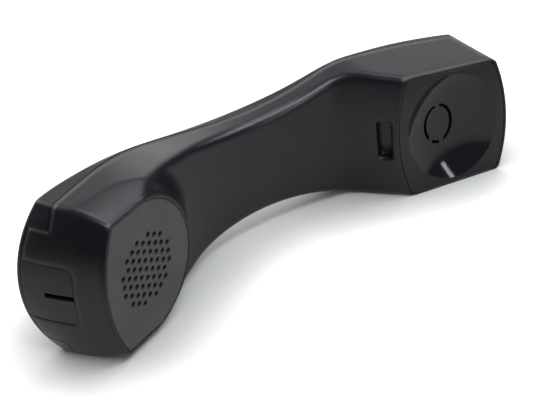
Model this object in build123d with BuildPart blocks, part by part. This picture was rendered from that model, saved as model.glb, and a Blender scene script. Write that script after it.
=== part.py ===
from build123d import *
import math
import os

os.makedirs("parts", exist_ok=True)

# Telephone handset. Drawing frame: X runs from the mouth end to the ear end, Y runs from
# the face to the back, Z runs across the width and Z = 0 is the plane of symmetry.
# The last lines lay every piece on its side in the row frame.

# main sizes
mouth_tilt = 18.65
ear_tilt = -16.0
ear_x = 147.0
ear_y = -5.4
wall = 2.3
side_taper = 0.038
side_draft = math.degrees(math.atan(0.03))
side_half_width = 32.8
waist_half_width = 20.3
crown_radius = 85.0
crown_half = 40.0

# mouth end, in the plane of its plate
mouth_centre = -2.6
mouth_radius = 29.8
mouth_flare = 1.0
mouth_depth = 40.0
mouth_sides = ((-4.0, 27.5), (6.0, 31.6), (16.0, 34.05))
mouth_plate_half = 29.3
end_levels = (-4.0, 0.0, 13.0, 37.0)
end_middles = (-22.8, -24.2, -28.4, -32.2)
end_corners = (-15.5, -16.4, -19.4, -20.2)
end_corner_halves = (28.4, 29.8, 33.0, 34.2)

# ear end, in the plane of its plate
ear_left = -24.5
ear_left_bulge = 4.2
ear_left_half = 26.0
ear_wall_slope = 53.0
ear_side_half = 27.05
ear_side_taper = 0.0448
ear_end_corner = 165.8
ear_end_bulge = 4.2
ear_end_half = 26.4

# point of the floor under the middle of the handset
rest_x = 65.28
rest_y = 14.04

# rounds
ear_blend = 12.0
mouth_blend = 10.0
grip_round = 3.0
fillet_start = 2.0
end_round = 2.6
back_round = 1.5

# plates and their seats
plate_thick = 2.0
ledge_thick = 2.0
ledge_width = 1.8
plate_rim = 0.8
plate_gap = 0.15
cover_groove = 0.35
groove_depth = 0.5
tongue_half = 25.3
tongue_below_back = 2.6
tongue_gap = 0.25


def tilted(origin, angle):
    """Plane facing out of the handset's face, turned about Z by the angle in degrees."""
    turn = math.radians(angle)
    x_dir = (math.cos(turn), math.sin(turn), 0)
    return Plane(origin=origin, x_dir=x_dir, z_dir=(math.sin(turn), -math.cos(turn), 0))


def arc_edge(middle, radius, reach):
    """Height of a bulged arc at the reach from its middle, bulging toward minus."""
    return middle + radius - math.sqrt(radius**2 - reach**2)


def arc_radius(bulge, half):
    """Radius of an arc that rises by the bulge over the half width."""
    return (half**2 + bulge**2) / (2 * bulge)


mouth = tilted((0, 0, 0), mouth_tilt)
ear = tilted((ear_x, ear_y, 0), ear_tilt)
end_plane = Plane(origin=mouth.from_local_coords((-60, 0, 0)), x_dir=(0, 0, 1), z_dir=-mouth.x_dir)


def crown(inset):
    """Everything on the face side of the crowned back, moved in by the inset."""
    with BuildPart() as below_back:
        with BuildLine(Plane.XY) as spine:
            Spline(
                (-58.0, 9.4 - inset),
                (-41.5, 24.5 - inset),
                (-27.0, 31.0 - inset),
                (0.0, 36.3 - inset),
                (24.0, 39.6 - inset),
                (50.0, 41.7 - inset),
                (80.0, 41.2 - inset),
                (100.0, 38.8 - inset),
                (122.0, 35.4 - inset),
                (144.0, 30.4 - inset),
                (170.0, 19.2 - inset),
                (200.0, 0.8 - inset),
            )
        start = Plane(origin=spine.line @ 0, x_dir=(0, 0, 1), z_dir=spine.line % 0)
        with BuildSketch(start):
            with BuildLine():
                drop = arc_edge(0, crown_radius, crown_half)
                ThreePointArc((-crown_half, drop), (0, 0), (crown_half, drop))
                Polyline((crown_half, drop), (crown_half, 62), (-crown_half, 62), (-crown_half, drop))
            make_face()
        sweep(path=spine.line)
    return below_back.part


def side_cutter(inset):
    """Everything beyond the upper side wall, moved in by the inset."""
    draft = math.radians(side_draft)
    plane = Plane(origin=(0, 0, 0), x_dir=(1, 0, 0), z_dir=(0, -math.cos(draft), -math.sin(draft)))

    def flat(x):
        return side_half_width - side_taper * x - inset

    with BuildPart() as outside:
        with BuildSketch(plane):
            with BuildLine():
                Line((-90, flat(-90)), (-5, flat(-5)))
                Spline(
                    (-5, flat(-5)),
                    (38, 24.6 - inset),
                    (71, waist_half_width - inset),
                    (100, 23.8 - inset),
                    (121, flat(121)),
                    tangents=[(1, -side_taper), (1, -side_taper)],
                )
                Line((121, flat(121)), (230, flat(230)))
                Polyline((230, flat(230)), (230, 90), (-90, 90), (-90, flat(-90)))
            make_face()
        extrude(amount=90, both=True)
    return outside.part


def mouth_side_cutter(inset):
    """Everything beside the upper side of the mouth plate and the flare under it."""
    (top, top_half), (middle, middle_half), (low, low_half) = mouth_sides
    with BuildPart() as outside:
        with BuildSketch(end_plane):
            with BuildLine():
                ThreePointArc((top_half - inset, top), (middle_half - inset, middle), (low_half - inset, low))
                Polyline((low_half - inset, low), (60, low), (60, top), (top_half - inset, top))
            make_face()
        extrude(amount=-140)
    return outside.part


def mouth_end_cutter(inset):
    """Everything beyond the bulged end face of the mouth end."""
    with BuildPart() as outside:
        for level, middle, corner, half in zip(end_levels, end_middles, end_corners, end_corner_halves):
            radius = arc_radius(corner - middle, half)
            reach = 38.0
            edge = arc_edge(middle, radius, reach) + inset
            with BuildSketch(mouth.offset(-level)):
                with BuildLine():
                    ThreePointArc((edge, -reach), (middle + inset, 0), (edge, reach))
                    Polyline((edge, reach), (-90, reach), (-90, -reach), (edge, -reach))
                make_face()
        loft()
    return outside.part


def mouth_block(inset, start, depth):
    """Flared block under the mouth plate, from the start depth below the plate's face."""
    with BuildPart() as block:
        with BuildSketch(mouth.offset(-start)):
            with Locations((mouth_centre - 40, 0)):
                Rectangle(80, 90)
        extrude(amount=-depth)
        with Locations(mouth.offset(-start)):
            with Locations((mouth_centre, 0, 0)):
                small = mouth_radius - inset + start * mouth_flare
                big = small + depth * mouth_flare
                facing = (Align.CENTER, Align.CENTER, Align.MAX)
                Cone(big, small, depth, rotation=(0, 0, 180), align=facing)
    return block.part


def body(inset, mouth_start, ear_start, blends):
    """The handset as one solid, every face moved in by the inset."""
    with BuildPart() as shape:
        add(mouth_block(inset, mouth_start, mouth_depth))
        # slab of the grip, its face side following the finger arch
        with BuildSketch(Plane.XY.offset(-45)):
            with BuildLine():
                Spline(
                    (2.0, 9.4 + inset),
                    (22.0, 14.6 + inset),
                    (40.0, 22.3 + inset),
                    (57.0, 25.3 + inset),
                    (86.0, 24.6 + inset),
                    (128.0, 18.4 + inset),
                )
                Polyline((128.0, 18.4 + inset), (128.0, 60), (2.0, 60), (2.0, 9.4 + inset))
            make_face()
        extrude(amount=90)
        # block under the ear plate
        slope = math.radians(ear_wall_slope)
        lean = math.radians(ear_wall_slope + ear_tilt)
        with BuildSketch(ear.offset(-ear_start)):
            with BuildLine():
                near = ear_left + inset / math.sin(lean) - ear_start / math.tan(lean)
                edge = arc_edge(near, arc_radius(ear_left_bulge, ear_left_half), 40)
                ThreePointArc((edge, -40), (near, 0), (edge, 40))
                Polyline((edge, 40), (90, 40), (90, -40), (edge, -40))
            make_face()
        extrude(amount=70, dir=(-math.cos(slope), math.sin(slope), 0))
        # bulged end of the ear block
        with BuildSketch(Plane.XZ.offset(-70)):
            with BuildLine():
                middle = ear_end_corner + ear_end_bulge - inset
                radius = arc_radius(ear_end_bulge, ear_end_half)
                edge = middle - arc_edge(0, radius, 45)
                ThreePointArc((edge, -45), (middle, 0), (edge, 45))
                Polyline((edge, 45), (300, 45), (300, -45), (edge, -45))
            make_face()
        extrude(amount=140, mode=Mode.SUBTRACT)
        if blends:
            fillet(shape.edges().sort_by_distance((112, 21, 0))[0], ear_blend)
            fillet(shape.edges().sort_by_distance((31, 19.6, 0))[0], mouth_blend)
        add(crown(inset), mode=Mode.INTERSECT)
        add(mouth_end_cutter(inset), mode=Mode.SUBTRACT)
        cutter = side_cutter(inset)
        add(cutter, mode=Mode.SUBTRACT)
        mirror(cutter, about=Plane.XY, mode=Mode.SUBTRACT)
    return shape.part


def is_grip_edge(edge):
    """Edges where the side walls meet the finger arch and the walls at its ends."""
    middle = edge.center()
    along_y = edge.geom_type == GeomType.LINE and abs((edge % 0.5).Y) > 0.2
    below_plate = mouth.to_local_coords(middle).Z < -fillet_start - 0.01
    return abs(middle.Z) > 19 and 3 < middle.X < 128 and middle.Y < 26.5 and below_plate and not along_y


def mouth_outline(inset):
    """Outline of the mouth plate's seat, moved in by the inset."""
    with BuildSketch() as outline:
        with BuildLine():
            radius = mouth_radius - inset
            left = end_corners[1] + inset
            ThreePointArc((mouth_centre, -radius), (mouth_centre + radius, 0), (mouth_centre, radius))
            Line((mouth_centre, radius), (left, radius))
            ThreePointArc((left, radius), (end_middles[1] + inset, 0), (left, -radius))
            Line((left, -radius), (mouth_centre, -radius))
        make_face()
        Rectangle(120, 2 * (mouth_plate_half - inset), mode=Mode.INTERSECT)
        fillet(outline.vertices().group_by(Axis.X)[0], 1.0)
    return outline.sketch


def ear_outline(inset, corner):
    """Outline of the ear plate's seat, moved in by the inset."""
    turn = math.cos(math.radians(ear_tilt))
    right = (ear_end_corner - ear_x) / turn - inset
    left = ear_left + ear_left_bulge + inset
    with BuildSketch() as outline:
        with BuildLine():
            left_half = ear_side_half - ear_side_taper * left - inset
            right_half = ear_side_half - ear_side_taper * right - inset
            ThreePointArc((left, left_half), (ear_left + inset, 0), (left, -left_half))
            Line((left, -left_half), (right, -right_half))
            ThreePointArc((right, -right_half), (right + ear_end_bulge / turn, 0), (right, right_half))
            Line((right, right_half), (left, left_half))
        make_face()
        fillet(outline.vertices(), corner)
    return outline.sketch


def seam(shift):
    """Everything on the back side of the seam between the shells."""
    with BuildPart() as back_side:
        with BuildSketch(Plane.XY.offset(-50)):
            with BuildLine():
                Spline(
                    (-60, -1.2 + shift),
                    (-22, 17.1 + shift),
                    (0, 25.7 + shift),
                    (24, 33.0 + shift),
                    (62, 35.6 + shift),
                    (100, 32.0 + shift),
                    (136, 25.2 + shift),
                    (164, 15.0 + shift),
                    (190, 3.0 + shift),
                )
                Polyline((190, 3.0 + shift), (190, 80), (-60, 80), (-60, -1.2 + shift))
            make_face()
        extrude(amount=100)
    return back_side.part


# outside of the closed handset
with BuildPart() as outside:
    add(body(0, 0, 0, True))
    beside = mouth_side_cutter(0)
    add(beside, mode=Mode.SUBTRACT)
    mirror(beside, about=Plane.XY, mode=Mode.SUBTRACT)
    fillet([e for e in outside.edges() if is_grip_edge(e)], grip_round)
    corners = [e for e in outside.edges() if abs(e.center().Z) > 26 and abs((e % 0.5).Y) > 0.3]
    fillet([e for e in corners if e.center().X < -15 and e.length > 5], end_round)
    corners = [e for e in outside.edges() if abs(e.center().Z) > 26 and abs((e % 0.5).Y) > 0.3]
    fillet([e for e in corners if e.center().X > 160], end_round)
    fillet(outside.edges().sort_by_distance((62, 39, 22))[0], back_round)

with BuildPart() as hollow:
    add(body(wall, plate_thick + ledge_thick, plate_thick + ledge_thick, False))
    beside = mouth_side_cutter(wall)
    add(beside, mode=Mode.SUBTRACT)
    mirror(beside, about=Plane.XY, mode=Mode.SUBTRACT)

# tongue of the front shell that closes the mouth end up to the back
with BuildPart() as tongue:
    add(outside.part)
    with Locations((-40, 25, 0)):
        Box(50, 60, 2 * tongue_half, mode=Mode.INTERSECT)
    add(seam(-1.0), mode=Mode.INTERSECT)
    add(crown(tongue_below_back), mode=Mode.INTERSECT)
    add(mouth_end_cutter(wall), mode=Mode.INTERSECT)

with BuildPart() as tongue_space:
    with Locations((-40, 25, 0)):
        Box(50, 60, 2 * (tongue_half + tongue_gap))
    add(crown(tongue_below_back - tongue_gap), mode=Mode.INTERSECT)
    add(mouth_end_cutter(wall + tongue_gap), mode=Mode.INTERSECT)

# end panel and its recess
panel_thick = 1.6
panel_half = 12.6
panel_start = 12.5
panel_round = 3.0
slot_end = 24.3
slot_half = 1.05


def panel_prism(gap):
    """Prism of the end panel's outline, along the mouth plate's length."""
    with BuildPart() as prism:
        with BuildSketch(end_plane):
            with Locations((0, panel_start + 20)):
                Rectangle(2 * (panel_half + gap), 40 + 2 * gap)
        extrude(amount=-60)
        fillet(prism.edges().filter_by(Axis(origin=(0, 0, 0), direction=mouth.x_dir)), panel_round + gap)
    return prism.part


# hook recess in the wall beside the ear
recess_plane = tilted((120.2, 5.7, 0), -ear_wall_slope)
recess_length = 6.2
recess_width = 17.0
recess_depth = 4.5
recess_wall = 1.3

# screws: one pan-head screw for the shells and the ballast, a smaller one for the board
screw_head = 2.3
screw_head_height = 1.6
screw_shank = 1.05
screw_length = 7.0
screw_hole = 1.3
mouth_post = (-2.0, 20.5)
ear_post = (157.0, 19.6)
shelf_thick = 2.0
mouth_shelf_y = 14.0
ear_shelf_y = 12.0
post_radius = 3.2

# ballast bar in the grip
bar_centre = 75.0
bar_length = 44.0
bar_width = 22.0
bar_base = 29.5
bar_thick = 4.5
bar_screw_pitch = 30.0
pad_radius = 3.5

# modular jack in the back of the mouth end
jack_turn = math.radians(30)
jack_out = (-math.sin(jack_turn), math.cos(jack_turn), 0)
jack_face = Plane(origin=(-31.0, 29.3, 0), x_dir=(0, 0, 1), z_dir=jack_out)
jack_start = 3.2
jack_length = 13.7
jack_width = 11.0
jack_height = 10.4
socket_width = 7.9
socket_height = 7.0
socket_depth = 12.0
board_thick = 1.2
board_width = 26.0
board_height = 12.0
board_post = 9.6
board_post_radius = 2.4
board_depth = jack_start + jack_length


def at_depth(plane, depth):
    """The plane moved into the handset by the depth."""
    return plane.offset(-depth)


def ring(plane, start, end, outer, inner):
    """Ring or disc between two depths below the plane."""
    with BuildPart() as piece:
        with BuildSketch(at_depth(plane, start)):
            Circle(outer)
            if inner > 0:
                Circle(inner, mode=Mode.SUBTRACT)
        extrude(amount=start - end)
    return piece.part


def column(x, z, start, end, radius):
    """Cylinder along Y, from the start to the end height above the face."""
    with BuildPart() as piece:
        with BuildSketch(Plane(origin=(x, start, z), x_dir=(1, 0, 0), z_dir=(0, 1, 0))):
            Circle(radius)
        extrude(amount=end - start)
    return piece.part


with BuildPart() as front_shell:
    add(outside.part)
    add(seam(0), mode=Mode.SUBTRACT)
    add(tongue.part)
    add(hollow.part, mode=Mode.SUBTRACT)
    # seats and openings of the two plates
    with BuildSketch(mouth):
        add(mouth_outline(plate_rim))
    extrude(amount=-plate_thick, mode=Mode.SUBTRACT)
    with BuildSketch(mouth):
        add(mouth_outline(plate_rim + ledge_width))
    extrude(amount=-plate_thick - ledge_thick - 1, mode=Mode.SUBTRACT)
    with BuildSketch(ear):
        add(ear_outline(plate_rim, 2.5))
    extrude(amount=-plate_thick, mode=Mode.SUBTRACT)
    with BuildSketch(ear):
        add(ear_outline(plate_rim + ledge_width, 2.0))
    extrude(amount=-plate_thick - ledge_thick - 1, mode=Mode.SUBTRACT)
    # walls of the hook recess, then the recess itself
    with BuildSketch(at_depth(recess_plane, 1.5)):
        Rectangle(recess_length + 2 * recess_wall, recess_width + 2 * recess_wall)
    extrude(amount=-recess_depth - recess_wall + 1.5)
    with BuildSketch(recess_plane.offset(3)):
        RectangleRounded(recess_length, recess_width, 0.9)
    extrude(amount=-recess_depth - 3, mode=Mode.SUBTRACT)
    # shelves that carry the posts of the back cover
    for side in (-1, 1):
        with Locations((mouth_post[0], mouth_shelf_y, side * 24.3)):
            Box(12, shelf_thick, 15.6, align=(Align.CENTER, Align.MIN, Align.CENTER))
        with Locations((158.5, ear_shelf_y, side * 20.5)):
            Box(11, shelf_thick, 10, align=(Align.CENTER, Align.MIN, Align.CENTER))
        for x, z, y in ((*mouth_post, mouth_shelf_y), (*ear_post, ear_shelf_y)):
            add(column(x, side * z, y - 1, y + shelf_thick + 1, screw_hole), mode=Mode.SUBTRACT)
    # pads for the ballast bar
    for side in (-1, 1):
        x = bar_centre + side * bar_screw_pitch / 2
        add(column(x, 0, bar_base - 3.0, bar_base, pad_radius))
        add(column(x, 0, bar_base - 2.6, bar_base, screw_shank), mode=Mode.SUBTRACT)
    # recess of the end panel and the slot behind it
    with BuildSketch(end_plane):
        with Locations((0, (panel_start + slot_end) / 2)):
            Rectangle(2 * slot_half, slot_end - panel_start)
    extrude(amount=-40, mode=Mode.SUBTRACT)

with BuildPart() as panel_space:
    add(panel_prism(plate_gap))
    add(mouth_end_cutter(panel_thick), mode=Mode.INTERSECT)

with BuildPart() as end_insert:
    add(outside.part)
    add(panel_prism(0), mode=Mode.INTERSECT)
    add(mouth_end_cutter(panel_thick), mode=Mode.INTERSECT)
    add(crown(tongue_below_back), mode=Mode.INTERSECT)
    with BuildSketch(end_plane):
        with Locations((0, (panel_start - 2 + slot_end) / 2)):
            Rectangle(2 * slot_half, slot_end - panel_start + 2)
    extrude(amount=-60, mode=Mode.SUBTRACT)

with BuildPart() as shell_cut:
    add(front_shell.part)
    add(panel_space.part, mode=Mode.SUBTRACT)
front_shell = shell_cut

with BuildPart() as seam_groove:
    add(outside.part)
    add(body(groove_depth, 0, 0, False), mode=Mode.SUBTRACT)
    add(seam(-1.0), mode=Mode.INTERSECT)
    add(seam(cover_groove), mode=Mode.SUBTRACT)

with BuildPart() as back_cover:
    add(outside.part)
    add(seam(0), mode=Mode.INTERSECT)
    add(hollow.part, mode=Mode.SUBTRACT)
    add(tongue_space.part, mode=Mode.SUBTRACT)
    add(seam_groove.part, mode=Mode.SUBTRACT)

with BuildPart() as cover_posts:
    for side in (-1, 1):
        for x, z, y in ((*mouth_post, mouth_shelf_y), (*ear_post, ear_shelf_y)):
            add(column(x, side * z, y + shelf_thick, 50, post_radius))
    with BuildSketch(at_depth(jack_face, board_depth)):
        with Locations((-board_post, 0), (board_post, 0)):
            Circle(board_post_radius)
    extrude(amount=board_depth)
    with BuildSketch(at_depth(jack_face, jack_start + 3)):
        Rectangle(jack_width + 3, jack_height + 3)
    extrude(amount=jack_start + 8)
    add(crown(0.8), mode=Mode.INTERSECT)
    with BuildSketch(at_depth(jack_face, jack_start)):
        Rectangle(jack_width, jack_height)
    extrude(amount=-10, mode=Mode.SUBTRACT)

with BuildPart() as cover_done:
    add(back_cover.part)
    add(cover_posts.part)
    with BuildSketch(at_depth(jack_face, jack_start)):
        Rectangle(socket_width, socket_height)
    extrude(amount=20, mode=Mode.SUBTRACT)
    for side in (-1, 1):
        for x, z, y in ((*mouth_post, mouth_shelf_y), (*ear_post, ear_shelf_y)):
            start = y + shelf_thick
            add(column(x, side * z, start, start + screw_length - shelf_thick, screw_shank), mode=Mode.SUBTRACT)
    with BuildSketch(at_depth(jack_face, board_depth)):
        with Locations((-board_post, 0), (board_post, 0)):
            Circle(0.85)
    extrude(amount=4.8, mode=Mode.SUBTRACT)
back_cover = cover_done

# mouth plate, its sound holes and the microphone behind it
hole_pitch = 3.92
hole_radius = 1.0
hole_field = 3.87 * hole_pitch
collar_inner = 7.0
collar_outer = 8.5
collar_end = 7.0
cloth_thick = 0.3
foam_end = 3.0
boot_end = 10.0
boot_step = 4.2
boot_hole = 2.5
capsule_radius = 4.85
capsule_end = 9.2
wire_radius = 0.5

with BuildPart() as mouth_plate:
    with BuildSketch(mouth):
        add(mouth_outline(plate_rim + plate_gap))
    extrude(amount=-plate_thick)
    with BuildSketch(mouth):
        for column_number in range(-5, 6):
            for row in range(-5, 6):
                t = column_number * hole_pitch * math.sqrt(3) / 2
                z = (row + 0.5 * (column_number % 2)) * hole_pitch
                if math.hypot(t, z) < hole_field + 0.5 * hole_radius:
                    with Locations((t, z)):
                        Circle(hole_radius)
        Circle(hole_field, mode=Mode.INTERSECT)
    extrude(amount=-plate_thick, mode=Mode.SUBTRACT)
    add(ring(mouth, plate_thick, collar_end, collar_outer, collar_inner))
    fillet(mouth_plate.faces().sort_by(Axis(origin=(0, 0, 0), direction=mouth.z_dir))[-1].outer_wire().edges(), 0.3)

with BuildPart() as mouth_cloth:
    add(ring(mouth, plate_thick, plate_thick + cloth_thick, hole_field + 1.2, collar_outer + 0.1))
with BuildPart() as mic_foam:
    add(ring(mouth, plate_thick, foam_end, collar_inner, 0))
with BuildPart() as mic_boot:
    add(ring(mouth, foam_end, boot_step, collar_inner, boot_hole))
    add(ring(mouth, boot_step, boot_end, collar_inner, capsule_radius))
with BuildPart() as mic_capsule:
    add(ring(mouth, boot_step, capsule_end, capsule_radius, 0))
    add(ring(mouth, boot_step, boot_step + 0.4, 1.0, 0), mode=Mode.SUBTRACT)
    with BuildSketch(at_depth(mouth, capsule_end)):
        with Locations((0, -2), (0, 2)):
            Circle(0.9)
    extrude(amount=-0.5)
    fillet(mic_capsule.edges().filter_by(GeomType.CIRCLE).group_by(SortBy.RADIUS)[-1], 0.4)

# ear plate: the dish is an ellipsoid, wider across the handset than along it
dish_half = 19.6
dish_depth = 6.0
dish_widen = 1.24
dish_wall = 1.8
dish_sphere = (dish_half**2 + dish_depth**2) / (2 * dish_depth)
ring_shift = -3.6
ring_along = 6.0
ring_across = 8.6
ring_offset = -0.7
ring_slot = 1.3
ring_bridge = 1.9
seat_depth = 9.0
seat_outer = 17.0
seat_inner = 15.4
collar_wall = 0.8
receiver_collar_end = 12.6
ear_axis = ear.from_local_coords((ring_shift, 0, 0))
receiver = tilted(ear_axis, ear_tilt)
dish_centre = ear.offset(dish_sphere - dish_depth)


def dish(radius):
    """Ellipsoid of the dish, grown to the radius along the handset."""
    with BuildPart() as shape:
        Sphere(radius)
        scale(by=(1, dish_widen, 1))
    return dish_centre.location * shape.part


with BuildPart() as ear_plate:
    with BuildSketch(ear):
        add(ear_outline(plate_rim + plate_gap, 2.4))
    extrude(amount=-plate_thick)
    fillet(ear_plate.faces().sort_by(Axis(origin=(0, 0, 0), direction=ear.z_dir))[-1].outer_wire().edges(), 0.5)
    with BuildSketch(at_depth(ear, plate_thick)):
        add(ear_outline(plate_rim + ledge_width + 0.3, 2.0))
    extrude(amount=plate_thick - seat_depth)
    add(ring(receiver, plate_thick, seat_depth, seat_outer, 0))
    add(ring(receiver, seat_depth, receiver_collar_end, seat_outer + collar_wall, seat_outer))
with BuildPart() as ear_hollow:
    with BuildSketch(at_depth(ear, plate_thick)):
        Rectangle(90, 90)
    extrude(amount=-30)
    add(dish(dish_sphere + dish_wall), mode=Mode.SUBTRACT)
    add(ring(receiver, plate_thick - 1, 30, seat_outer + collar_wall, seat_inner), mode=Mode.SUBTRACT)
with BuildPart() as ear_done:
    add(ear_plate.part)
    add(ear_hollow.part, mode=Mode.SUBTRACT)
    add(dish(dish_sphere), mode=Mode.SUBTRACT)
    with BuildSketch(at_depth(receiver, 0)):
        with Locations((ring_offset, 0)):
            Ellipse(ring_along + ring_slot / 2, ring_across + ring_slot / 2)
            Ellipse(ring_along - ring_slot / 2, ring_across - ring_slot / 2, mode=Mode.SUBTRACT)
        for angle in (95, 236, 273):
            with PolarLocations(7.5, 1, start_angle=angle):
                Rectangle(8, ring_bridge, mode=Mode.SUBTRACT)
    extrude(amount=-seat_depth, mode=Mode.SUBTRACT)
ear_plate = ear_done

# receiver capsule, built as rings about its axis between depths below the ear plate
flange_radius = 16.9
basket_radius = 15.3
cone_seat = 12.0
basket_end = 17.0
coil_radius = 6.6
pole_radius = 5.6
yoke_radius = 8.5
with BuildPart() as ear_gasket:
    add(ring(receiver, seat_depth, seat_depth + 0.8, seat_outer - 0.2, seat_inner))
with BuildPart() as receiver_basket:
    add(ring(receiver, seat_depth + 0.8, 11.0, flange_radius, 14.4))
    add(ring(receiver, 11.0, cone_seat + 0.25, basket_radius, 14.4))
    add(ring(receiver, cone_seat + 0.25, basket_end, basket_radius, 13.4))
    add(ring(receiver, basket_end - 1.2, basket_end, 13.6, yoke_radius))
    with BuildSketch(at_depth(receiver, basket_end - 1.2)):
        with PolarLocations(11.0, 4, start_angle=45):
            Circle(1.2)
    extrude(amount=-1.2, mode=Mode.SUBTRACT)
with BuildPart() as receiver_front:
    add(ring(receiver, seat_depth + 0.8, seat_depth + 1.4, 14.4, 0))
    with BuildSketch(at_depth(receiver, seat_depth + 0.8)):
        with PolarLocations(5.0, 6):
            Circle(1.1)
        with PolarLocations(9.5, 12):
            Circle(1.1)
        Circle(1.1)
    extrude(amount=-0.6, mode=Mode.SUBTRACT)
with BuildPart() as receiver_cloth:
    add(ring(receiver, seat_depth + 0.6, seat_depth + 0.8, 12.5, 0))
with BuildPart() as receiver_diaphragm:
    add(ring(receiver, cone_seat, cone_seat + 0.25, 14.4, coil_radius - 0.7))
    dome_plane = at_depth(receiver, cone_seat + 0.25)
    dome_rise = 1.3
    dome_half = coil_radius - 0.4
    dome_sphere = (dome_half**2 + dome_rise**2) / (2 * dome_rise)
    with Locations(dome_plane.offset(dome_rise - dome_sphere)):
        Sphere(dome_sphere)
        Sphere(dome_sphere - 0.25, mode=Mode.SUBTRACT)
with BuildPart() as dome_limit:
    add(ring(receiver, cone_seat - 2, cone_seat + 0.25, 14.4, 0))
with BuildPart() as diaphragm_done:
    add(receiver_diaphragm.part)
    add(dome_limit.part, mode=Mode.INTERSECT)
receiver_diaphragm = diaphragm_done
with BuildPart() as receiver_coil:
    add(ring(receiver, cone_seat + 0.25, 16.3, coil_radius, coil_radius - 0.5))
with BuildPart() as receiver_pole:
    add(ring(receiver, 13.4, 14.4, pole_radius, 0))
with BuildPart() as receiver_magnet:
    add(ring(receiver, 14.4, 17.6, pole_radius, 0))
with BuildPart() as receiver_yoke:
    add(ring(receiver, 13.4, 17.6, yoke_radius, yoke_radius - 1.2))
    add(ring(receiver, 17.6, 18.8, yoke_radius, 0))
with BuildPart() as receiver_ring:
    add(ring(receiver, 11.0, 12.2, seat_outer, basket_radius + 0.1))
with BuildPart() as receiver_board:
    with BuildSketch(at_depth(receiver, basket_end)):
        with Locations((-11.8, 0)):
            Rectangle(5, 11)
    extrude(amount=-0.8)
    with BuildSketch(at_depth(receiver, basket_end + 0.8)):
        with Locations((-11.8, -4), (-11.8, 4)):
            Circle(1.1)
    extrude(amount=-0.3)

# ballast bar
with BuildPart() as ballast_bar:
    with BuildSketch(Plane(origin=(bar_centre, bar_base, 0), x_dir=(1, 0, 0), z_dir=(0, 1, 0))):
        Rectangle(bar_length, bar_width)
    extrude(amount=bar_thick)
    chamfer(ballast_bar.edges(), 0.4)
    for side in (-1, 1):
        x = bar_centre + side * bar_screw_pitch / 2
        add(column(x, 0, bar_base - 1, bar_base + bar_thick + 1, screw_hole), mode=Mode.SUBTRACT)


def screw(x, z, seat, direction, length):
    """Pan-head screw along Y: the head on its seat, the shank going the other way."""
    with BuildPart() as piece:
        head = Plane(origin=(x, seat, z), x_dir=(1, 0, 0), z_dir=(0, direction, 0))
        with BuildSketch(head):
            Circle(screw_head)
        extrude(amount=screw_head_height)
        fillet(piece.faces().sort_by(Axis(origin=(0, 0, 0), direction=head.z_dir))[-1].edges(), 0.5)
        with BuildSketch(head):
            Circle(screw_shank)
        extrude(amount=-length)
        with BuildSketch(head.offset(screw_head_height)):
            Rectangle(2.6, 0.6)
            Rectangle(0.6, 2.6)
        extrude(amount=-0.8, mode=Mode.SUBTRACT)
    return piece.part


with BuildPart() as case_screws:
    for side in (-1, 1):
        add(screw(mouth_post[0], side * mouth_post[1], mouth_shelf_y, -1, screw_length))
        add(screw(ear_post[0], side * ear_post[1], ear_shelf_y, -1, screw_length))
        x = bar_centre + side * bar_screw_pitch / 2
        add(screw(x, 0, bar_base + bar_thick, 1, screw_length))

# jack housing, its contacts and the board behind it
with BuildPart() as jack_housing:
    with BuildSketch(at_depth(jack_face, jack_start)):
        Rectangle(jack_width, jack_height)
    extrude(amount=-jack_length)
    with BuildSketch(at_depth(jack_face, jack_start)):
        Rectangle(socket_width, socket_height)
        with Locations((0, -socket_height / 2)):
            Rectangle(3.2, 2.4)
    extrude(amount=-socket_depth, mode=Mode.SUBTRACT)
contact_radius = 0.25
contact_pitch = 1.27
contact_roof = socket_height / 2 - 0.5
contact_places = [(k - 1.5) * contact_pitch for k in range(4)]
with BuildPart() as jack_contacts:
    for place in contact_places:
        section = Plane(origin=jack_face.from_local_coords((place, 0, 0)), x_dir=jack_face.y_dir, z_dir=jack_face.x_dir)
        deep = section.to_local_coords(jack_face.from_local_coords((place, 0, -1))).Y
        with BuildLine(section) as path:
            FilletPolyline(
                (contact_roof, deep * (board_depth + board_thick + 0.5)),
                (contact_roof, deep * 8.0),
                (-0.6, deep * 12.2),
                radius=0.6,
            )
        begin = Plane(origin=path.line @ 0, z_dir=path.line % 0)
        with BuildSketch(begin):
            Circle(contact_radius)
        sweep(path=path.line)
with BuildPart() as contact_holes:
    with BuildSketch(at_depth(jack_face, jack_start + socket_depth - 0.5)):
        with Locations(*[(place, contact_roof) for place in contact_places]):
            Circle(contact_radius)
    extrude(amount=-8)
with BuildPart() as housing_done:
    add(jack_housing.part)
    add(contact_holes.part, mode=Mode.SUBTRACT)
jack_housing = housing_done
with BuildPart() as jack_board:
    with BuildSketch(at_depth(jack_face, board_depth)):
        RectangleRounded(board_width, board_height, 1.0)
        with Locations((-board_post, 0), (board_post, 0)):
            Circle(1.05, mode=Mode.SUBTRACT)
    extrude(amount=-board_thick)
    add(contact_holes.part, mode=Mode.SUBTRACT)
with BuildPart() as board_screws:
    with BuildSketch(at_depth(jack_face, board_depth + board_thick)):
        with Locations((-board_post, 0), (board_post, 0)):
            Circle(1.8)
    extrude(amount=-1.2)
    with BuildSketch(at_depth(jack_face, board_depth + board_thick)):
        with Locations((-board_post, 0), (board_post, 0)):
            Circle(0.85)
    extrude(amount=5.4)

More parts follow.
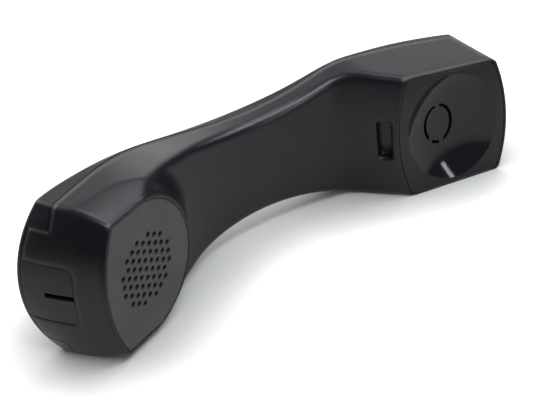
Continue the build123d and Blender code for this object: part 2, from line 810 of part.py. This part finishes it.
# wires: two from the receiver over the ballast bar, two from the microphone
wire_side = 4.0
bar_top = bar_base + bar_thick
solder = board_depth + board_thick
receiver_pad = receiver.from_local_coords((-11.8, 0, -basket_end - 1.1))
receiver_off = receiver.from_local_coords((-11.8, 0, -basket_end - 5.5))
board_far = jack_face.from_local_coords((0, 3.0, -solder))
board_far_off = jack_face.from_local_coords((0, 3.0, -solder - 4))
board_near = jack_face.from_local_coords((0, -3.0, -solder))
board_near_off = jack_face.from_local_coords((0, -3.0, -solder - 3))
capsule_pad = mouth.from_local_coords((0, 0, -capsule_end - 0.5))
capsule_off = mouth.from_local_coords((0, 0, -capsule_end - 3.5))


def wire(points, z, bend):
    """Round wire through the points at one height across the handset."""
    with BuildPart() as piece:
        with BuildLine(Plane.XY.offset(z)) as path:
            FilletPolyline(*points, radius=bend)
        with BuildSketch(Plane(origin=path.line @ 0, z_dir=path.line % 0)):
            Circle(wire_radius)
        sweep(path=path.line)
    return piece.part


with BuildPart() as receiver_wires:
    for side in (-1, 1):
        route = [
            (receiver_pad.X, receiver_pad.Y),
            (receiver_off.X, receiver_off.Y),
            (116, 29.0),
            (bar_centre + bar_length / 2 + 3, bar_top + wire_radius),
            (bar_centre - bar_length / 2 - 3, bar_top + wire_radius),
            (22, 32.0),
            (-4, 19.5),
            (board_far_off.X, board_far_off.Y),
            (board_far.X, board_far.Y),
        ]
        add(wire(route, side * wire_side, 1.6))
with BuildPart() as mic_wires:
    for side in (-1, 1):
        route = [
            (capsule_pad.X, capsule_pad.Y),
            (capsule_off.X, capsule_off.Y),
            (-14, 11.5),
            (board_near_off.X, board_near_off.Y),
            (board_near.X, board_near.Y),
        ]
        add(wire(route, side * 2.0, 1.2))
with BuildPart() as wire_tape:
    tape = 0.15
    with BuildSketch(Plane(origin=(bar_centre, bar_base + 1, 0), x_dir=(1, 0, 0), z_dir=(0, 1, 0))):
        Rectangle(9, bar_width + 2 * tape)
    extrude(amount=bar_thick - 1 + 2 * wire_radius + tape)
    with BuildSketch(Plane(origin=(bar_centre, bar_base, 0), x_dir=(1, 0, 0), z_dir=(0, 1, 0))):
        Rectangle(9, bar_width)
    extrude(amount=bar_thick + 2 * wire_radius, mode=Mode.SUBTRACT)

pieces = {
    "front_shell": front_shell,
    "back_cover": back_cover,
    "mouth_plate": mouth_plate,
    "ear_plate": ear_plate,
    "end_insert": end_insert,
    "case_screws": case_screws,
    "mouth_cloth": mouth_cloth,
    "mic_foam": mic_foam,
    "mic_boot": mic_boot,
    "mic_capsule": mic_capsule,
    "mic_wires": mic_wires,
    "ear_gasket": ear_gasket,
    "receiver_cloth": receiver_cloth,
    "receiver_front": receiver_front,
    "receiver_basket": receiver_basket,
    "receiver_diaphragm": receiver_diaphragm,
    "receiver_coil": receiver_coil,
    "receiver_pole": receiver_pole,
    "receiver_magnet": receiver_magnet,
    "receiver_yoke": receiver_yoke,
    "receiver_ring": receiver_ring,
    "receiver_board": receiver_board,
    "receiver_wires": receiver_wires,
    "wire_tape": wire_tape,
    "ballast_bar": ballast_bar,
    "jack_housing": jack_housing,
    "jack_contacts": jack_contacts,
    "jack_board": jack_board,
    "board_screws": board_screws,
}

# lie every piece on its side: the lower side walls of both ends rest on the floor
floor_normal = Vector(-side_taper, math.tan(math.radians(side_draft)), 1).normalized()
rest_point = (rest_x, rest_y, -side_half_width + side_taper * rest_x - math.tan(math.radians(side_draft)) * rest_y)
rest = Plane(origin=rest_point, x_dir=(1, 0, side_taper), z_dir=floor_normal)
for name, piece in pieces.items():
    laid = rest.to_local_coords(piece.part)
    laid.label = name
    export_step(laid, "parts/" + name + ".step")
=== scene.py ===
"""Looks of a telephone handset that lies on its side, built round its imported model."""
import logging
import math
from dataclasses import dataclass, field
from enum import Enum

import bpy
from mathutils import Matrix, Vector

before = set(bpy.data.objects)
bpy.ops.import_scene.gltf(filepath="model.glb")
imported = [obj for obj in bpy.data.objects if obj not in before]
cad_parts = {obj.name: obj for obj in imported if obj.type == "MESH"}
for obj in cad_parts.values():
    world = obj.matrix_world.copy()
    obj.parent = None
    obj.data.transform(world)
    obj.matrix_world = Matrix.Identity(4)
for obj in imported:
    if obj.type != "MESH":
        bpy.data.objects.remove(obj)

log = logging.getLogger("handset")
MM = 0.001
Colour = tuple[float, float, float]
Point = tuple[float, float, float]
Span = tuple[float, float]

# Length of one wave of Blender's wave texture at a scale of 1.
WAVE_LENGTH = 0.314
# Middle range of Blender's noise texture.
NOISE_MIDDLE: Span = (0.3, 0.7)
# Rays that look round a surface point for edges and hollows.
AROUND_RAYS = 8


class Band(Enum):
    """How a roughness or height pattern is laid over a surface."""

    GRAIN = "grain"
    BRUSHED = "brushed"
    WOVEN = "woven"
    CELLS = "cells"
    WINDING = "winding"


class Graph:
    """One node graph, written a node at a time."""

    def __init__(self, tree: bpy.types.NodeTree) -> None:
        """Empties the tree.

        Args:
            tree: The node tree of a material or of the world.
        """
        self.tree = tree
        tree.nodes.clear()

    def node(self, kind: str, **values: object) -> bpy.types.Node:
        """Adds a node and sets its properties.

        Args:
            kind: Blender's name of the node type.
            values: Properties of the node, by name.

        Returns:
            The new node.
        """
        made = self.tree.nodes.new(kind)
        for name, value in values.items():
            setattr(made, name, value)
        return made

    def fill(self, socket: bpy.types.NodeSocket, value: object) -> None:
        """Links another node's output to an input, or sets the input.

        Args:
            socket: The input.
            value: An output, a number, a vector or a colour without its alpha.
        """
        if isinstance(value, bpy.types.NodeSocket):
            self.tree.links.new(value, socket)
        elif socket.type == "RGBA":
            socket.default_value = (*value, 1)
        else:
            socket.default_value = value

    def feed(self, node: bpy.types.Node, **inputs: object) -> bpy.types.Node:
        """Fills a node's inputs by name.

        Args:
            node: The node to fill.
            inputs: Values by input name, with an underscore for each space.

        Returns:
            The same node.
        """
        for name, value in inputs.items():
            self.fill(node.inputs[name.replace("_", " ")], value)
        return node

    def math(self, operation: str, first: object, second: object) -> bpy.types.NodeSocket:
        """Adds a math node.

        Args:
            operation: Name of the operation.
            first: First number or socket.
            second: Second number or socket.

        Returns:
            The node's output.
        """
        made = self.node("ShaderNodeMath", operation=operation)
        self.fill(made.inputs[0], first)
        self.fill(made.inputs[1], second)
        return made.outputs[0]

    def noise(self, place: bpy.types.NodeSocket, size: float, detail: float) -> bpy.types.NodeSocket:
        """Adds a noise pattern.

        Args:
            place: Coordinates, in metres.
            size: Size of one patch of the pattern, in millimetres.
            detail: Octaves of finer noise.

        Returns:
            The pattern, from 0 to 1.
        """
        made = self.node("ShaderNodeTexNoise")
        self.feed(made, Vector=place, Scale=1 / (size * MM), Detail=detail)
        return made.outputs[0]

    def cells(self, place: bpy.types.NodeSocket, size: float) -> bpy.types.NodeSocket:
        """Adds a pattern of irregular cells.

        Args:
            place: Coordinates, in metres.
            size: Size of one cell, in millimetres.

        Returns:
            Distance from the middle of the cell, in cells.
        """
        made = self.node("ShaderNodeTexVoronoi", feature="F1")
        self.feed(made, Vector=place, Scale=1 / (size * MM))
        return made.outputs["Distance"]

    def remap(
        self, value: bpy.types.NodeSocket, span: Span, result: Span, kind: str = "LINEAR"
    ) -> bpy.types.NodeSocket:
        """Maps a value from one range to another, and holds it there.

        Args:
            value: The value.
            span: The range that it comes from.
            result: The range that it goes to.
            kind: Blender's name of the way between the ends.

        Returns:
            The mapped value.
        """
        made = self.node("ShaderNodeMapRange", interpolation_type=kind)
        for socket, part in zip(made.inputs, (value, *span, *result)):
            self.fill(socket, part)
        return made.outputs[0]

    def mix(self, share: object, first: object, second: object, blend: str = "MIX") -> bpy.types.NodeSocket:
        """Mixes two colours.

        Args:
            share: How much of the second colour, from 0 to 1.
            first: The first colour or its socket.
            second: The second colour or its socket.
            blend: Blender's name of the way to mix them.

        Returns:
            The mixed colour.
        """
        made = self.node("ShaderNodeMix", data_type="RGBA", blend_type=blend)
        colours = [socket for socket in made.inputs if socket.type == "RGBA"]
        for socket, value in zip((made.inputs[0], *colours), (share, first, second)):
            self.fill(socket, value)
        return next(socket for socket in made.outputs if socket.type == "RGBA")

    def bump(self, height: bpy.types.NodeSocket, depth: float, before: object = None) -> bpy.types.NodeSocket:
        """Turns a height pattern into a normal.

        Args:
            height: The pattern, from 0 to 1.
            depth: Height of the pattern, in millimetres.
            before: Normal that the pattern is laid over, if any.

        Returns:
            The bent normal.
        """
        made = self.node("ShaderNodeBump")
        self.feed(made, Height=height, Distance=depth * MM, Strength=1.0)
        if before is not None:
            self.feed(made, Normal=before)
        return made.outputs[0]

    def rounded(self, radius: float) -> bpy.types.NodeSocket:
        """Adds a normal that shades sharp edges as rounded.

        Args:
            radius: Radius of the rounding, in millimetres.

        Returns:
            The normal.
        """
        made = self.node("ShaderNodeBevel", samples=AROUND_RAYS)
        self.feed(made, Radius=radius * MM)
        return made.outputs[0]

    def openness(self, reach: float, power: float = 1.0, inside: bool = False) -> bpy.types.NodeSocket:
        """Measures how open the space round a surface point is.

        Args:
            reach: How far it looks, in millimetres.
            power: Power that the open share is raised to.
            inside: Looks into the solid instead, which finds its outer edges.

        Returns:
            From 0, closed, to 1, open.
        """
        made = self.node("ShaderNodeAmbientOcclusion", samples=AROUND_RAYS, inside=inside)
        self.feed(made, Distance=reach * MM)
        return self.math("POWER", made.outputs["AO"], power)


def scaled(colour: Colour, factor: float) -> Colour:
    """The colour made lighter or darker by the factor."""
    return tuple(min(1.0, part * factor) for part in colour)


@dataclass(frozen=True)
class Finish:
    """What every finish has. Lengths are in millimetres.

    Attributes:
        name: The material's name.
        colour: The mean colour.
        roughness: The mean roughness.
        variation: Share by which the colour varies.
        patch: Size of the patches in which it varies.
        wear: How much the roughness varies.
        worn_patch: Size of the patches in which it varies.
    """

    name: str
    colour: Colour
    roughness: float
    variation: float = 0.12
    patch: float = 14.0
    wear: float = 0.03
    worn_patch: float = 8.4

    def surface(self, graph: Graph, place: bpy.types.NodeSocket, shader: bpy.types.Node) -> None:
        """Lays the finish's own pattern on the shader; the plain finish has none."""

    def material(self) -> bpy.types.Material:
        """Makes the material: colour and roughness that vary a little, then the finish's own pattern.

        Returns:
            The new material.
        """
        made = bpy.data.materials.new(self.name)
        made.use_nodes = True
        made.diffuse_color = (*self.colour, 1)
        graph = Graph(made.node_tree)
        out = graph.node("ShaderNodeOutputMaterial")
        shader = graph.node("ShaderNodeBsdfPrincipled")
        graph.feed(out, Surface=shader.outputs[0])
        place = graph.node("ShaderNodeTexCoord").outputs["Object"]
        share = graph.remap(graph.noise(place, self.patch, 3.0), NOISE_MIDDLE, (0.0, 1.0))
        dark, light = scaled(self.colour, 1 - self.variation), scaled(self.colour, 1 + self.variation)
        graph.feed(shader, Base_Color=graph.mix(share, dark, light))
        worn = graph.remap(graph.noise(place, self.worn_patch, 4.0), NOISE_MIDDLE, (-self.wear, self.wear))
        graph.feed(shader, Roughness=graph.math("ADD", worn, self.roughness))
        self.surface(graph, place, shader)
        return made


@dataclass(frozen=True)
class MouldedPlastic(Finish):
    """Plastic with the fine spark texture of its mould. Lengths are in millimetres.

    Attributes:
        grain: Size of the fine grain.
        grain_depth: Depth of the fine grain.
        coarse: How many times larger the coarse grain is.
        coarse_depth: How many times deeper the coarse grain is.
        speckle: How strongly the grain's high spots show.
        spot: Colour that a high spot adds, as a share of the plastic's.
        hollow_shade_reach: Width of the holes and gaps inside which the colour is painted dark, a painted
            shade.
        hollow_shade_power: How quickly that painted shade darkens.
        hollow_shade: How dark the painted shade gets, as a share of the colour.
        edge_radius: Radius with which sharp edges are shaded, or 0.
        rim_shade_reach: Width of the painted shade along sharp edges, such as the rims of the holes, or 0.
        rim_shade_power: How quickly that painted shade darkens.
    """

    grain: float = 0.45
    grain_depth: float = 0.012
    coarse: float = 3.1
    coarse_depth: float = 1.5
    speckle: float = 0.25
    spot: float = 0.8
    hollow_shade_reach: float = 1.6
    hollow_shade_power: float = 3.0
    hollow_shade: float = 0.03
    edge_radius: float = 0.0
    rim_shade_reach: float = 0.0
    rim_shade_power: float = 2.0

    def surface(self, graph: Graph, place: bpy.types.NodeSocket, shader: bpy.types.Node) -> None:
        """Adds the grain in two sizes, its paler high spots, soft edges, and painted shade in narrow hollows
        and along sharp edges.

        Args:
            graph: The material's graph.
            place: Coordinates, in metres.
            shader: The material's shader.
        """
        fine = graph.noise(place, self.grain, 2.0)
        rough = graph.noise(place, self.grain * self.coarse, 1.0)
        soft = graph.rounded(self.edge_radius) if self.edge_radius > 0 else None
        uneven = graph.bump(rough, self.grain_depth * self.coarse_depth, soft)
        graph.feed(shader, Normal=graph.bump(fine, self.grain_depth, uneven))
        base = shader.inputs["Base Color"].links[0].from_socket
        spots = graph.remap(fine, NOISE_MIDDLE, (0.0, self.speckle))
        speckled = graph.mix(spots, base, scaled(self.colour, self.spot), "ADD")
        # Painted shade: the colour goes dark in narrow hollows and gaps, where shade would fall.
        clear = graph.openness(self.hollow_shade_reach, self.hollow_shade_power)
        # Painted shade along sharp edges, so that the rims of the holes look dark.
        if self.rim_shade_reach > 0:
            rim = graph.openness(self.rim_shade_reach, self.rim_shade_power, inside=True)
            clear = graph.math("MULTIPLY", clear, rim)
        graph.feed(shader, Base_Color=graph.mix(clear, scaled(self.colour, self.hollow_shade), speckled))


@dataclass(frozen=True)
class PolishedPlastic(Finish):
    """Plastic from a polished mould, with a faint waviness and a little dust. Lengths are in millimetres.

    Attributes:
        ripple: Length of the waviness.
        ripple_depth: Depth of the waviness.
        dust: How much rougher a speck of dust is.
        dust_gap: Distance between the specks.
        dust_size: Radius of a speck, as a share of that distance.
    """

    ripple: float = 9.0
    ripple_depth: float = 0.01
    dust: float = 0.35
    dust_gap: float = 2.2
    dust_size: float = 0.07

    def surface(self, graph: Graph, place: bpy.types.NodeSocket, shader: bpy.types.Node) -> None:
        """Adds the waviness and the dust.

        Args:
            graph: The material's graph.
            place: Coordinates, in metres.
            shader: The material's shader.
        """
        graph.feed(shader, Normal=graph.bump(graph.noise(place, self.ripple, 0.0), self.ripple_depth))
        speck = graph.math("LESS_THAN", graph.cells(place, self.dust_gap), self.dust_size)
        clean = shader.inputs["Roughness"].links[0].from_socket
        graph.feed(shader, Roughness=graph.math("ADD", clean, graph.math("MULTIPLY", speck, self.dust)))


@dataclass(frozen=True)
class Patterned(Finish):
    """Metal, cloth, foam, tape, board or wound wire, by its pattern. Lengths are in millimetres.

    Attributes:
        band: The kind of pattern.
        pitch: Size of one repeat of the pattern.
        depth: Depth of the pattern.
        metallic: 1 for bare metal, or 0.
        contrast: Share by which the colour varies with the pattern, darker in its hollows as painted shade.
        stretch: Share to which a brushed pattern is slowed along its strokes.
        wobble: How far woven and wound lines waver.
    """

    band: Band = Band.GRAIN
    pitch: float = 0.5
    depth: float = 0.02
    metallic: float = 0.0
    contrast: float = 0.3
    stretch: float = 0.04
    wobble: float = 0.3

    def heights(self, graph: Graph, place: bpy.types.NodeSocket) -> bpy.types.NodeSocket:
        """Makes the pattern's heights.

        Args:
            graph: The material's graph.
            place: Coordinates, in metres.

        Returns:
            Heights from 0 to 1.
        """
        if self.band is Band.GRAIN:
            return graph.noise(place, self.pitch, 3.0)
        if self.band is Band.CELLS:
            return graph.cells(place, self.pitch)
        if self.band is Band.BRUSHED:
            strokes = graph.node("ShaderNodeMapping")
            graph.feed(strokes, Vector=place, Scale=(self.stretch, 1.0, 1.0))
            return graph.noise(strokes.outputs[0], self.pitch, 3.0)
        lines = []
        for direction in ("X", "Z") if self.band is Band.WOVEN else ("Y",):
            wave = graph.node("ShaderNodeTexWave", bands_direction=direction)
            graph.feed(wave, Vector=place, Scale=WAVE_LENGTH / (self.pitch * MM), Distortion=self.wobble)
            lines.append(wave.outputs["Fac"])
        return graph.math("MAXIMUM", lines[0], lines[-1])

    def surface(self, graph: Graph, place: bpy.types.NodeSocket, shader: bpy.types.Node) -> None:
        """Adds the pattern's heights and a colour that follows them, partly the pattern's own tone and partly
        painted shade in its hollows.

        Args:
            graph: The material's graph.
            place: Coordinates, in metres.
            shader: The material's shader.
        """
        height = self.heights(graph, place)
        graph.feed(shader, Metallic=self.metallic, Normal=graph.bump(height, self.depth))
        # The colour follows the pattern's heights: darker in its hollows, partly painted shade.
        low, high = scaled(self.colour, 1 - self.contrast), scaled(self.colour, 1 + self.contrast)
        graph.feed(shader, Base_Color=graph.mix(graph.remap(height, NOISE_MIDDLE, (0.0, 1.0)), low, high))


@dataclass(frozen=True)
class ClearFilm(Finish):
    """Thin clear film with a slight tint. Lengths are in millimetres.

    Attributes:
        clearness: Share of the light that goes through.
        ripple: Length of the pressed ripples.
        ripple_depth: Depth of the pressed ripples.
    """

    clearness: float = 0.6
    ripple: float = 1.6
    ripple_depth: float = 0.03

    def surface(self, graph: Graph, place: bpy.types.NodeSocket, shader: bpy.types.Node) -> None:
        """Lets light through and adds the film's pressed ripples.

        Args:
            graph: The material's graph.
            place: Coordinates, in metres.
            shader: The material's shader.
        """
        ripples = graph.bump(graph.noise(place, self.ripple, 1.0), self.ripple_depth)
        graph.feed(shader, Transmission_Weight=self.clearness, Normal=ripples)


@dataclass
class SubAssembly:
    """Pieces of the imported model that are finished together."""

    finishes: dict[str, Finish] = field(default_factory=dict)

    def dress(self) -> None:
        """Gives each piece of the sub-assembly its finish."""
        made: dict[str, bpy.types.Material] = {}
        for node, finish in self.finishes.items():
            if finish.name not in made:
                made[finish.name] = finish.material()
            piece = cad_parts[node]
            piece.data.materials.clear()
            piece.data.materials.append(made[finish.name])
            log.info("%s: %s", node, finish.name)


BLACK: Colour = (0.0050, 0.0060, 0.0078)
PANEL_BLACK: Colour = (0.0075, 0.008, 0.009)
STEEL: Colour = (0.56, 0.56, 0.55)
ALUMINIUM: Colour = (0.78, 0.78, 0.79)
COPPER: Colour = (0.72, 0.36, 0.18)
GOLD: Colour = (0.86, 0.62, 0.22)
AMBER: Colour = (0.62, 0.4, 0.09)
SCREW_STEEL = Patterned("zinc_plate", STEEL, roughness=0.32, metallic=1.0, pitch=0.6, contrast=0.1)
RECEIVER_BLACK = MouldedPlastic("receiver_moulding", (0.03, 0.03, 0.032), roughness=0.5)
CLOTH = Patterned(
    "acoustic_cloth", (0.006, 0.006, 0.007), roughness=0.9, band=Band.WOVEN, pitch=0.25, depth=0.05
)
FOAM = Patterned("open_foam", (0.03, 0.03, 0.03), roughness=0.95, band=Band.CELLS, pitch=0.5, depth=0.2)
BOARD = Patterned("solder_mask", (0.02, 0.11, 0.045), roughness=0.35, pitch=2.4, contrast=0.35)


@dataclass
class Casing(SubAssembly):
    """Front shell, back cover and the panel let into the mouth end."""

    finishes: dict[str, Finish] = field(
        default_factory=lambda: {
            "front_shell": MouldedPlastic("shell_satin", BLACK, roughness=0.3, edge_radius=3.2),
            "back_cover": MouldedPlastic("cover_satin", BLACK, roughness=0.28, edge_radius=0.7),
            "end_insert": MouldedPlastic("panel_satin", PANEL_BLACK, roughness=0.34, edge_radius=0.5),
            "case_screws": SCREW_STEEL,
        }
    )


@dataclass
class MouthEnd(SubAssembly):
    """Mouth plate and the microphone behind it."""

    finishes: dict[str, Finish] = field(
        default_factory=lambda: {
            "mouth_plate": MouldedPlastic(
                "mouth_matte",
                (0.043, 0.044, 0.046),
                roughness=0.6,
                grain=0.6,
                grain_depth=0.02,
                edge_radius=0.5,
                rim_shade_reach=0.7,
            ),
            "mouth_cloth": CLOTH,
            "mic_foam": FOAM,
            "mic_boot": MouldedPlastic("boot_rubber", (0.02, 0.02, 0.02), roughness=0.8),
            "mic_capsule": Patterned(
                "drawn_aluminium", ALUMINIUM, roughness=0.3, band=Band.BRUSHED, metallic=1.0, contrast=0.12
            ),
            "mic_wires": MouldedPlastic("red_insulation", (0.42, 0.02, 0.02), roughness=0.45),
        }
    )


@dataclass
class EarEnd(SubAssembly):
    """Ear plate and the receiver behind it."""

    finishes: dict[str, Finish] = field(
        default_factory=lambda: {
            "ear_plate": PolishedPlastic("ear_gloss", (0.0075, 0.008, 0.0095), roughness=0.07),
            "ear_gasket": FOAM,
            "receiver_cloth": CLOTH,
            "receiver_front": RECEIVER_BLACK,
            "receiver_basket": RECEIVER_BLACK,
            "receiver_ring": RECEIVER_BLACK,
            "receiver_diaphragm": ClearFilm("diaphragm_film", (0.85, 0.83, 0.76), roughness=0.12),
            "receiver_coil": Patterned(
                "wound_copper", COPPER, roughness=0.3, band=Band.WINDING, pitch=0.14, metallic=1.0
            ),
            "receiver_pole": SCREW_STEEL,
            "receiver_yoke": SCREW_STEEL,
            "receiver_magnet": Patterned("nickel_plate", (0.68, 0.67, 0.63), roughness=0.18, metallic=1.0),
            "receiver_board": BOARD,
        }
    )


@dataclass
class Grip(SubAssembly):
    """Ballast bar in the grip and the wires that pass over it."""

    finishes: dict[str, Finish] = field(
        default_factory=lambda: {
            "ballast_bar": Patterned(
                "sawn_steel", (0.4, 0.4, 0.4), roughness=0.42, band=Band.BRUSHED, pitch=0.3, metallic=1.0
            ),
            "wire_tape": Patterned("amber_tape", AMBER, roughness=0.25, pitch=1.8, contrast=0.15),
            "receiver_wires": MouldedPlastic("white_insulation", (0.7, 0.69, 0.65), roughness=0.45),
        }
    )


@dataclass
class JackSocket(SubAssembly):
    """Modular jack in the back of the mouth end."""

    finishes: dict[str, Finish] = field(
        default_factory=lambda: {
            "jack_housing": MouldedPlastic("jack_moulding", (0.018, 0.018, 0.02), roughness=0.3),
            "jack_contacts": Patterned("gold_flash", GOLD, roughness=0.2, metallic=1.0, contrast=0.08),
            "jack_board": BOARD,
            "board_screws": SCREW_STEEL,
        }
    )


@dataclass
class Viewpoint:
    """Camera at the photograph's viewing angle. Lengths are in millimetres, angles in degrees.

    Attributes:
        aim: The point in the middle of the picture.
        distance: Distance from that point.
        turn: How far the view is turned to the right of straight ahead.
        rise: How steeply it looks down.
        roll: How far the camera is tilted about its own axis.
        focal_pixels: Focal length, in pixels.
        image_width: Width of the picture, in pixels.
        sensor_width: Width of the sensor.
        nearest: Nearest distance that the camera sees.
    """

    aim: Point = (-3.69, -14.98, 30.0)
    distance: float = 826.4
    turn: float = 32.159
    rise: float = 33.947
    roll: float = -8.94
    focal_pixels: float = 2133.0
    image_width: int = 550
    sensor_width: float = 36.0
    nearest: float = 10.0

    def place(self) -> None:
        """Makes the camera and hands it to the scene."""
        data = bpy.data.cameras.new("photo_camera")
        data.sensor_width = self.sensor_width
        data.lens = self.focal_pixels / self.image_width * self.sensor_width
        data.clip_start = self.nearest * MM
        camera = bpy.data.objects.new("photo_camera", data)
        turn, rise = math.radians(self.turn), math.radians(self.rise)
        ahead = Vector((math.sin(turn) * math.cos(rise), math.cos(turn) * math.cos(rise), -math.sin(rise)))
        facing = ahead.to_track_quat("-Z", "Y").to_matrix()
        facing = facing @ Matrix.Rotation(math.radians(self.roll), 3, "Z")
        stand = Vector(self.aim) * MM - ahead * self.distance * MM
        camera.matrix_world = Matrix.Translation(stand) @ facing.to_4x4()
        bpy.context.scene.collection.objects.link(camera)
        bpy.context.scene.camera = camera


@dataclass(frozen=True)
class Lamp:
    """Soft rectangular lamp. Lengths are in metres.

    Attributes:
        name: The lamp's name.
        stand: Its place.
        aim: The point that it faces.
        size: Its width and height.
        power: Its power, in watts.
        roll: Its turn about its own axis, in degrees.
        tint: Colour of its light.
    """

    name: str
    stand: Point
    aim: Point
    size: Span
    power: float
    roll: float = 0.0
    tint: Colour = (0.94, 0.975, 1.0)

    def place(self) -> None:
        """Makes the lamp and puts it into the scene."""
        data = bpy.data.lights.new(self.name, "AREA")
        data.shape = "RECTANGLE"
        data.size, data.size_y = self.size
        data.energy = self.power
        data.color = self.tint
        lamp = bpy.data.objects.new(self.name, data)
        facing = (Vector(self.aim) - Vector(self.stand)).to_track_quat("-Z", "Y").to_matrix()
        facing = facing @ Matrix.Rotation(math.radians(self.roll), 3, "Z")
        lamp.matrix_world = Matrix.Translation(Vector(self.stand)) @ facing.to_4x4()
        bpy.context.scene.collection.objects.link(lamp)


LAMPS = (
    Lamp("lamp_above", (0.42, 0.1, 0.9), (0.42, 0.15, 0.0), (0.5, 0.5), 2.5),
    Lamp("lamp_edge", (0.4, -0.42, 0.84), (0.4, -0.2, 0.0), (1.3, 0.22), 10.0),
    Lamp("lamp_behind", (0.7, 0.95, 0.42), (0.0, 0.0, 0.03), (1.3, 0.35), 2.0),
    Lamp("lamp_corner", (-0.3, 0.75, 0.75), (0.0, 0.0, 0.03), (0.8, 0.6), 6.0),
    Lamp("lamp_strip", (0.2, -1.1, 0.45), (0.08, 0.0, 0.03), (0.1, 1.9), 4.6, roll=26.0),
)


@dataclass
class Studio:
    """Pale floor, white surroundings and soft lamps. Lengths are in metres, unless said otherwise.

    Attributes:
        floor_half: Half the length of the floor's side.
        floor_colour: Colour of the floor where the lamps light it.
        floor_glow: Brightness that the camera sees on the floor besides.
        painted_shadow_reach: How near the handset the floor is painted darker, in millimetres: a painted
            shadow to the camera and painted shade in reflections.
        painted_shadow_power: How quickly that painted shadow darkens.
        dim: Brightness, in reflections, of what lies in front of the handset.
        front_edge: Where along Y the reflected floor rises from dim to bright.
        left_edge: Where along X it does.
        floor_mirrored: Brightness of the floor in reflections.
        behind_edge: Y of the directions between which the reflected surroundings rise to bright.
        behind_mirrored: Brightness of the surroundings in reflections.
        ambient: Brightness of the surroundings as light on the handset.
    """

    floor_half: float = 6.0
    floor_colour: Colour = (0.42, 0.42, 0.42)
    floor_glow: float = 0.86
    painted_shadow_reach: float = 35.0
    painted_shadow_power: float = 4.0
    dim: float = 0.04
    front_edge: Span = (-0.16, -0.06)
    left_edge: Span = (-0.7, -0.13)
    floor_mirrored: float = 0.62
    behind_edge: Span = (0.0, 0.75)
    behind_mirrored: float = 0.62
    ambient: float = 0.45

    def rise(self, graph: Graph, value: bpy.types.NodeSocket, span: Span) -> bpy.types.NodeSocket:
        """Rises smoothly from dim to full brightness.

        Args:
            graph: The graph that the nodes go into.
            value: What the brightness follows.
            span: Values at which the rise starts and ends.

        Returns:
            The brightness, from dim to 1.
        """
        return graph.remap(value, span, (self.dim, 1.0), "SMOOTHSTEP")

    def floor_material(self) -> bpy.types.Material:
        """Makes the floor matt, with a glow that the camera sees and another one for reflections; both glows
        fade near the handset as a painted shadow.

        Returns:
            The new material.
        """
        made = bpy.data.materials.new("floor_white")
        made.use_nodes = True
        graph = Graph(made.node_tree)
        out = graph.node("ShaderNodeOutputMaterial")
        path = graph.node("ShaderNodeLightPath")
        matt = graph.feed(graph.node("ShaderNodeBsdfDiffuse"), Color=self.floor_colour)
        seen = graph.math("MULTIPLY", path.outputs["Is Camera Ray"], self.floor_glow)
        # Painted shadow: the glow that the camera sees fades near the handset.
        seen = graph.math("MULTIPLY", seen, graph.openness(self.painted_shadow_reach, self.painted_shadow_power))
        glow = graph.feed(graph.node("ShaderNodeEmission"), Strength=seen)
        lit = graph.node("ShaderNodeAddShader")
        graph.fill(lit.inputs[0], matt.outputs[0])
        graph.fill(lit.inputs[1], glow.outputs[0])
        spot = graph.node("ShaderNodeNewGeometry").outputs["Position"]
        axes = graph.feed(graph.node("ShaderNodeSeparateXYZ"), Vector=spot)
        front = self.rise(graph, axes.outputs["Y"], self.front_edge)
        left = self.rise(graph, axes.outputs["X"], self.left_edge)
        near = graph.math("MULTIPLY", graph.math("MULTIPLY", front, left), self.floor_mirrored)
        # Painted shade: the reflected floor darkens near the handset.
        near = graph.math("MULTIPLY", near, graph.openness(self.painted_shadow_reach))
        mirrored = graph.feed(graph.node("ShaderNodeEmission"), Strength=near)
        chosen = graph.node("ShaderNodeMixShader")
        graph.fill(chosen.inputs[0], path.outputs["Is Glossy Ray"])
        graph.fill(chosen.inputs[1], lit.outputs[0])
        graph.fill(chosen.inputs[2], mirrored.outputs[0])
        graph.feed(out, Surface=chosen.outputs[0])
        return made

    def floor(self) -> None:
        """Makes the floor."""
        half = self.floor_half
        corners = [(-half, -half, 0), (half, -half, 0), (half, half, 0), (-half, half, 0)]
        mesh = bpy.data.meshes.new("floor")
        mesh.from_pydata(corners, [], [(0, 1, 2, 3)])
        mesh.materials.append(self.floor_material())
        floor = bpy.data.objects.new("floor", mesh)
        bpy.context.scene.collection.objects.link(floor)

    def surroundings(self) -> None:
        """Makes the world: white to the camera, and in reflections white behind and dim in front."""
        world = bpy.data.worlds.new("studio")
        bpy.context.scene.world = world
        world.use_nodes = True
        graph = Graph(world.node_tree)
        out = graph.node("ShaderNodeOutputWorld")
        path = graph.node("ShaderNodeLightPath").outputs
        directions = graph.node("ShaderNodeTexCoord").outputs["Generated"]
        axes = graph.feed(graph.node("ShaderNodeSeparateXYZ"), Vector=directions)
        behind = self.rise(graph, axes.outputs["Y"], self.behind_edge)
        behind = graph.math("MULTIPLY", behind, self.behind_mirrored)
        glossy = graph.math("MULTIPLY", behind, path["Is Glossy Ray"])
        direct = graph.math("MAXIMUM", path["Is Camera Ray"], path["Is Transmission Ray"])
        seen = graph.math("MAXIMUM", direct, path["Is Glossy Ray"])
        lighting = graph.math("MULTIPLY", graph.math("SUBTRACT", 1.0, seen), self.ambient)
        strength = graph.math("ADD", graph.math("ADD", direct, glossy), lighting)
        background = graph.node("ShaderNodeBackground")
        graph.feed(background, Strength=strength, Color=(1.0, 1.0, 1.0))
        graph.feed(out, Surface=background.outputs[0])

    def build(self) -> None:
        """Makes the floor, the surroundings and the lamps."""
        self.floor()
        self.surroundings()
        for lamp in LAMPS:
            lamp.place()
            log.info("%s: %.1f W", lamp.name, lamp.power)
        bpy.context.scene.view_settings.view_transform = "Standard"


def main() -> None:
    """Dresses every sub-assembly, then sets the camera, the floor and the lamps."""
    logging.basicConfig(level=logging.INFO, format="%(name)s: %(message)s")
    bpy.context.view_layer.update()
    Viewpoint().place()
    for assembly in (Casing(), MouthEnd(), EarEnd(), Grip(), JackSocket()):
        assembly.dress()
    Studio().build()


if __name__ == "__main__":
    main()
